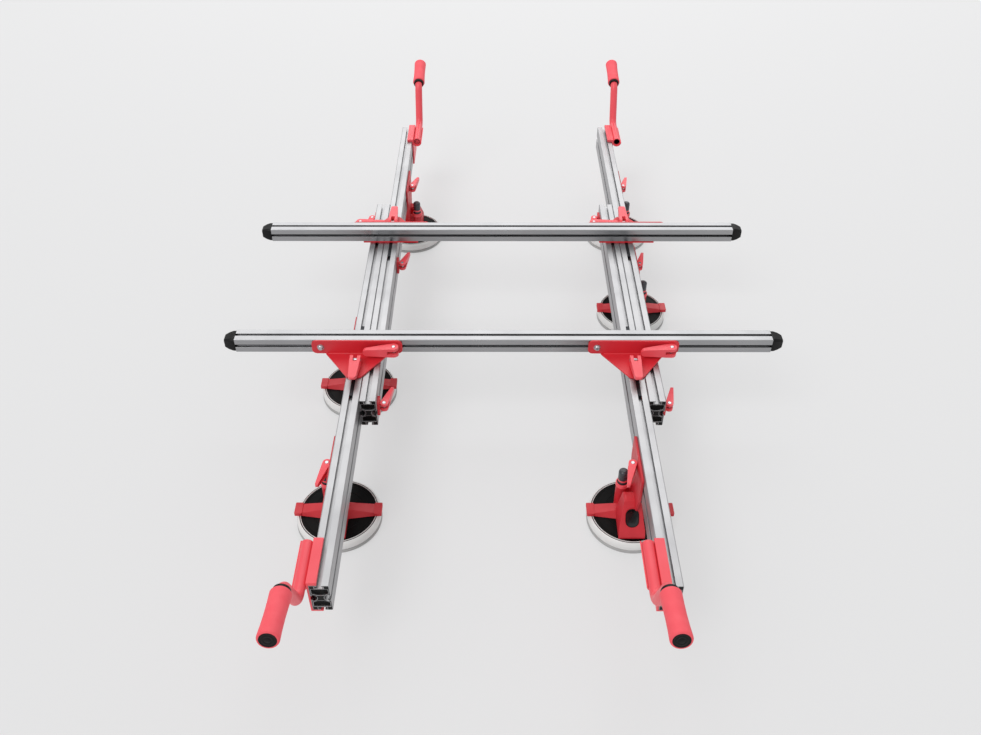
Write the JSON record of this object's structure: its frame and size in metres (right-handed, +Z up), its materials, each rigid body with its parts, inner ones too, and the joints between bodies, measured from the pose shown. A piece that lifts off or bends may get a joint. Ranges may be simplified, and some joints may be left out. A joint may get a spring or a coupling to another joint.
{
  "type": "suction lifter for large floor tiles",
  "caption": "Extendable aluminium carrying frame with pumped suction pads, cam-lever clamps and bent carrying handles, for lifting large tiles and glass",
  "frame": {"origin": "plan centre of the frame, on the surface that the suction pads grip", "axes": "+X along the crossbars, +Y along the rails from the front handles to the rear ones, +Z up"},
  "size_m": [1.386, 2.3054, 0.3899],
  "materials": {
    "anodised_rail": "satin natural anodised extrusion",
    "red_coat": "coral red powder coat",
    "pad_rubber": "light grey rubber, black disc on top",
    "black_plastic": "black moulded plastic",
    "plunger_grey": "dark grey moulded plastic"
  },
  "bodies": {
    "left_front_rail_body": {"left_front_rail": "anodised_rail", "left_front_handle_clamp": "red_coat"},
    "right_front_rail_body": {"right_front_rail": "anodised_rail", "right_front_handle_clamp": "red_coat"},
    "left_rear_rail_body": {"left_rear_rail": "anodised_rail", "left_rear_handle_clamp": "red_coat"},
    "right_rear_rail_body": {"right_rear_rail": "anodised_rail", "right_rear_handle_clamp": "red_coat"},
    "front_crossbar_body": {"front_crossbar": "anodised_rail", "front_crossbar_plugs": "black_plastic", "left_front_bracket": "red_coat"},
    "rear_crossbar_body": {"rear_crossbar": "anodised_rail", "rear_crossbar_plugs": "black_plastic", "left_rear_bracket": "red_coat"},
    "right_front_bracket_body": {"right_front_bracket": "red_coat"},
    "right_rear_bracket_body": {"right_rear_bracket": "red_coat"},
    "left_front_outer_cup": {"left_front_outer_cup_carrier": "red_coat", "left_front_outer_suction_pad": "pad_rubber"},
    "left_front_outer_pump": {"left_front_outer_pump_plunger": "plunger_grey"},
    "left_front_outer_lever": {"left_front_outer_cup_lever": "red_coat"},
    "right_rear_outer_cup": {"right_rear_outer_cup_carrier": "red_coat", "right_rear_outer_suction_pad": "pad_rubber"},
    "right_rear_outer_pump": {"right_rear_outer_pump_plunger": "plunger_grey"},
    "right_rear_outer_lever": {"right_rear_outer_cup_lever": "red_coat"},
    "left_front_inner_cup": {"left_front_inner_cup_carrier": "red_coat", "left_front_inner_suction_pad": "pad_rubber"},
    "left_front_inner_pump": {"left_front_inner_pump_plunger": "plunger_grey"},
    "left_front_inner_lever": {"left_front_inner_cup_lever": "red_coat"},
    "right_rear_inner_cup": {"right_rear_inner_cup_carrier": "red_coat", "right_rear_inner_suction_pad": "pad_rubber"},
    "right_rear_inner_pump": {"right_rear_inner_pump_plunger": "plunger_grey"},
    "right_rear_inner_lever": {"right_rear_inner_cup_lever": "red_coat"},
    "right_front_outer_cup": {"right_front_outer_cup_carrier": "red_coat", "right_front_outer_suction_pad": "pad_rubber"},
    "right_front_outer_pump": {"right_front_outer_pump_plunger": "plunger_grey"},
    "right_front_outer_lever": {"right_front_outer_cup_lever": "red_coat"},
    "left_rear_outer_cup": {"left_rear_outer_cup_carrier": "red_coat", "left_rear_outer_suction_pad": "pad_rubber"},
    "left_rear_outer_pump": {"left_rear_outer_pump_plunger": "plunger_grey"},
    "left_rear_outer_lever": {"left_rear_outer_cup_lever": "red_coat"},
    "left_front_end_joiner_lever_body": {"left_front_end_joiner_lever": "red_coat"},
    "right_rear_end_joiner_lever_body": {"right_rear_end_joiner_lever": "red_coat"},
    "right_front_inner_joiner_lever_body": {"right_front_inner_joiner_lever": "red_coat"},
    "left_rear_inner_joiner_lever_body": {"left_rear_inner_joiner_lever": "red_coat"},
    "right_front_end_joiner_lever_body": {"right_front_end_joiner_lever": "red_coat"},
    "left_rear_end_joiner_lever_body": {"left_rear_end_joiner_lever": "red_coat"},
    "left_front_bar_lever_body": {"left_front_bar_lever": "red_coat"},
    "left_front_rail_lever_body": {"left_front_rail_lever": "red_coat"},
    "right_rear_bar_lever_body": {"right_rear_bar_lever": "red_coat"},
    "right_rear_rail_lever_body": {"right_rear_rail_lever": "red_coat"},
    "right_front_bar_lever_body": {"right_front_bar_lever": "red_coat"},
    "right_front_rail_lever_body": {"right_front_rail_lever": "red_coat"},
    "left_rear_bar_lever_body": {"left_rear_bar_lever": "red_coat"},
    "left_rear_rail_lever_body": {"left_rear_rail_lever": "red_coat"},
    "left_front_handle_body": {"left_front_handle": "red_coat"},
    "right_rear_handle_body": {"right_rear_handle": "red_coat"},
    "right_front_handle_body": {"right_front_handle": "red_coat"},
    "left_rear_handle_body": {"left_rear_handle": "red_coat"}
  },
  "joints": [
    {"name": "beam_width_slide", "type": "slide", "parent": "left_front_rail_body", "child": "right_front_rail_body", "axis": [1, 0, 0], "range_m": [-0.2, 0.2]},
    {"name": "left_extension_slide", "type": "slide", "parent": "left_front_rail_body", "child": "left_rear_rail_body", "axis": [0, 1, 0], "range_m": [-0.3, 0.55]},
    {"name": "right_extension_slide", "type": "slide", "parent": "right_front_rail_body", "child": "right_rear_rail_body", "axis": [0, 1, 0], "range_m": [-0.3, 0.55]},
    {"name": "front_crossbar_slide", "type": "slide", "parent": "left_front_rail_body", "child": "front_crossbar_body", "axis": [0, 1, 0], "range_m": [-0.4, 0.05]},
    {"name": "rear_crossbar_slide", "type": "slide", "parent": "left_rear_rail_body", "child": "rear_crossbar_body", "axis": [0, 1, 0], "range_m": [-0.05, 0.4]},
    {"name": "right_front_bracket_slide", "type": "slide", "parent": "front_crossbar_body", "child": "right_front_bracket_body", "axis": [1, 0, 0], "range_m": [-0.2, 0.2]},
    {"name": "right_rear_bracket_slide", "type": "slide", "parent": "rear_crossbar_body", "child": "right_rear_bracket_body", "axis": [1, 0, 0], "range_m": [-0.2, 0.2]},
    {"name": "left_front_outer_cup_slide", "type": "slide", "parent": "left_front_rail_body", "child": "left_front_outer_cup", "axis": [0, 1, 0], "range_m": [-0.1, 0.1]},
    {"name": "left_front_outer_pump_press", "type": "slide", "parent": "left_front_outer_cup", "child": "left_front_outer_pump", "axis": [0, 0, 1], "range_m": [-0.028, 0], "stiffness_N_per_m": 150, "springref_m": 0.01},
    {"name": "left_front_outer_lever_hinge", "type": "hinge", "parent": "left_front_outer_cup", "child": "left_front_outer_lever", "pos_m": [-0.39725, -0.6, 0.188], "axis": [0, 0, -1], "range_deg": [0, 95]},
    {"name": "right_rear_outer_cup_slide", "type": "slide", "parent": "right_rear_rail_body", "child": "right_rear_outer_cup", "axis": [0, 1, 0], "range_m": [-0.1, 0.1]},
    {"name": "right_rear_outer_pump_press", "type": "slide", "parent": "right_rear_outer_cup", "child": "right_rear_outer_pump", "axis": [0, 0, 1], "range_m": [-0.028, 0], "stiffness_N_per_m": 150, "springref_m": 0.01},
    {"name": "right_rear_outer_lever_hinge", "type": "hinge", "parent": "right_rear_outer_cup", "child": "right_rear_outer_lever", "pos_m": [0.39725, 0.6, 0.188], "axis": [0, 0, -1], "range_deg": [0, 95]},
    {"name": "left_front_inner_cup_slide", "type": "slide", "parent": "left_front_rail_body", "child": "left_front_inner_cup", "axis": [0, 1, 0], "range_m": [-0.1, 0.1]},
    {"name": "left_front_inner_pump_press", "type": "slide", "parent": "left_front_inner_cup", "child": "left_front_inner_pump", "axis": [0, 0, 1], "range_m": [-0.028, 0], "stiffness_N_per_m": 150, "springref_m": 0.01},
    {"name": "left_front_inner_lever_hinge", "type": "hinge", "parent": "left_front_inner_cup", "child": "left_front_inner_lever", "pos_m": [-0.39725, -0.167, 0.188], "axis": [0, 0, -1], "range_deg": [0, 95]},
    {"name": "right_rear_inner_cup_slide", "type": "slide", "parent": "right_rear_rail_body", "child": "right_rear_inner_cup", "axis": [0, 1, 0], "range_m": [-0.1, 0.1]},
    {"name": "right_rear_inner_pump_press", "type": "slide", "parent": "right_rear_inner_cup", "child": "right_rear_inner_pump", "axis": [0, 0, 1], "range_m": [-0.028, 0], "stiffness_N_per_m": 150, "springref_m": 0.01},
    {"name": "right_rear_inner_lever_hinge", "type": "hinge", "parent": "right_rear_inner_cup", "child": "right_rear_inner_lever", "pos_m": [0.39725, 0.167, 0.188], "axis": [0, 0, -1], "range_deg": [0, 95]},
    {"name": "right_front_outer_cup_slide", "type": "slide", "parent": "right_front_rail_body", "child": "right_front_outer_cup", "axis": [0, 1, 0], "range_m": [-0.1, 0.1]},
    {"name": "right_front_outer_pump_press", "type": "slide", "parent": "right_front_outer_cup", "child": "right_front_outer_pump", "axis": [0, 0, 1], "range_m": [-0.028, 0], "stiffness_N_per_m": 150, "springref_m": 0.01},
    {"name": "right_front_outer_lever_hinge", "type": "hinge", "parent": "right_front_outer_cup", "child": "right_front_outer_lever", "pos_m": [0.28675, -0.6, 0.188], "axis": [0, 0, -1], "range_deg": [0, 95]},
    {"name": "left_rear_outer_cup_slide", "type": "slide", "parent": "left_rear_rail_body", "child": "left_rear_outer_cup", "axis": [0, 1, 0], "range_m": [-0.1, 0.1]},
    {"name": "left_rear_outer_pump_press", "type": "slide", "parent": "left_rear_outer_cup", "child": "left_rear_outer_pump", "axis": [0, 0, 1], "range_m": [-0.028, 0], "stiffness_N_per_m": 150, "springref_m": 0.01},
    {"name": "left_rear_outer_lever_hinge", "type": "hinge", "parent": "left_rear_outer_cup", "child": "left_rear_outer_lever", "pos_m": [-0.28675, 0.6, 0.188], "axis": [0, 0, -1], "range_deg": [0, 95]},
    {"name": "left_front_end_joiner_lever_hinge", "type": "hinge", "parent": "left_front_rail_body", "child": "left_front_end_joiner_lever_body", "pos_m": [-0.39725, 0.409, 0.188], "axis": [0, 0, -1], "range_deg": [0, 95]},
    {"name": "right_rear_end_joiner_lever_hinge", "type": "hinge", "parent": "right_rear_rail_body", "child": "right_rear_end_joiner_lever_body", "pos_m": [0.39725, -0.409, 0.188], "axis": [0, 0, -1], "range_deg": [0, 95]},
    {"name": "right_front_inner_joiner_lever_hinge", "type": "hinge", "parent": "right_front_rail_body", "child": "right_front_inner_joiner_lever_body", "pos_m": [0.28675, -0.168, 0.188], "axis": [0, 0, -1], "range_deg": [0, 95]},
    {"name": "left_rear_inner_joiner_lever_hinge", "type": "hinge", "parent": "left_rear_rail_body", "child": "left_rear_inner_joiner_lever_body", "pos_m": [-0.28675, 0.168, 0.188], "axis": [0, 0, -1], "range_deg": [0, 95]},
    {"name": "right_front_end_joiner_lever_hinge", "type": "hinge", "parent": "right_front_rail_body", "child": "right_front_end_joiner_lever_body", "pos_m": [0.28675, 0.409, 0.188], "axis": [0, 0, -1], "range_deg": [0, 95]},
    {"name": "left_rear_end_joiner_lever_hinge", "type": "hinge", "parent": "left_rear_rail_body", "child": "left_rear_end_joiner_lever_body", "pos_m": [-0.28675, -0.409, 0.188], "axis": [0, 0, -1], "range_deg": [0, 95]},
    {"name": "left_front_bar_lever_hinge", "type": "hinge", "parent": "front_crossbar_body", "child": "left_front_bar_lever_body", "pos_m": [-0.27015, -0.2816, 0.2526], "axis": [0, 0, 1], "range_deg": [0, 95]},
    {"name": "left_front_rail_lever_hinge", "type": "hinge", "parent": "front_crossbar_body", "child": "left_front_rail_lever_body", "pos_m": [-0.36215, -0.3073, 0.2446], "axis": [-1, 0, 0], "range_deg": [0, 95]},
    {"name": "right_rear_bar_lever_hinge", "type": "hinge", "parent": "right_rear_bracket_body", "child": "right_rear_bar_lever_body", "pos_m": [0.27015, 0.2816, 0.2526], "axis": [0, 0, 1], "range_deg": [0, 95]},
    {"name": "right_rear_rail_lever_hinge", "type": "hinge", "parent": "right_rear_bracket_body", "child": "right_rear_rail_lever_body", "pos_m": [0.36215, 0.3073, 0.2446], "axis": [1, 0, 0], "range_deg": [0, 95]},
    {"name": "right_front_bar_lever_hinge", "type": "hinge", "parent": "right_front_bracket_body", "child": "right_front_bar_lever_body", "pos_m": [0.41385, -0.2816, 0.2526], "axis": [0, 0, 1], "range_deg": [0, 95]},
    {"name": "right_front_rail_lever_hinge", "type": "hinge", "parent": "right_front_bracket_body", "child": "right_front_rail_lever_body", "pos_m": [0.32185, -0.3073, 0.2446], "axis": [-1, 0, 0], "range_deg": [0, 95]},
    {"name": "left_rear_bar_lever_hinge", "type": "hinge", "parent": "rear_crossbar_body", "child": "left_rear_bar_lever_body", "pos_m": [-0.41385, 0.2816, 0.2526], "axis": [0, 0, 1], "range_deg": [0, 95]},
    {"name": "left_rear_rail_lever_hinge", "type": "hinge", "parent": "rear_crossbar_body", "child": "left_rear_rail_lever_body", "pos_m": [-0.32185, 0.3073, 0.2446], "axis": [1, 0, 0], "range_deg": [0, 95]},
    {"name": "left_front_handle_hinge", "type": "hinge", "parent": "left_front_rail_body", "child": "left_front_handle_body", "pos_m": [-0.39875, -0.945, 0.226], "axis": [0, 1, 0], "range_deg": [-90, 90]},
    {"name": "right_rear_handle_hinge", "type": "hinge", "parent": "right_rear_rail_body", "child": "right_rear_handle_body", "pos_m": [0.39875, 0.945, 0.226], "axis": [0, 1, 0], "range_deg": [-90, 90]},
    {"name": "right_front_handle_hinge", "type": "hinge", "parent": "right_front_rail_body", "child": "right_front_handle_body", "pos_m": [0.28525, -0.945, 0.226], "axis": [0, 1, 0], "range_deg": [-90, 90]},
    {"name": "left_rear_handle_hinge", "type": "hinge", "parent": "left_rear_rail_body", "child": "left_rear_handle_body", "pos_m": [-0.28525, 0.945, 0.226], "axis": [0, 1, 0], "range_deg": [-90, 90]}
  ],
  "couplings": [
    {"joint": "right_extension_slide", "follows": "left_extension_slide", "ratio": 1},
    {"joint": "right_front_bracket_slide", "follows": "beam_width_slide", "ratio": 1},
    {"joint": "right_rear_bracket_slide", "follows": "beam_width_slide", "ratio": 1}
  ]
}
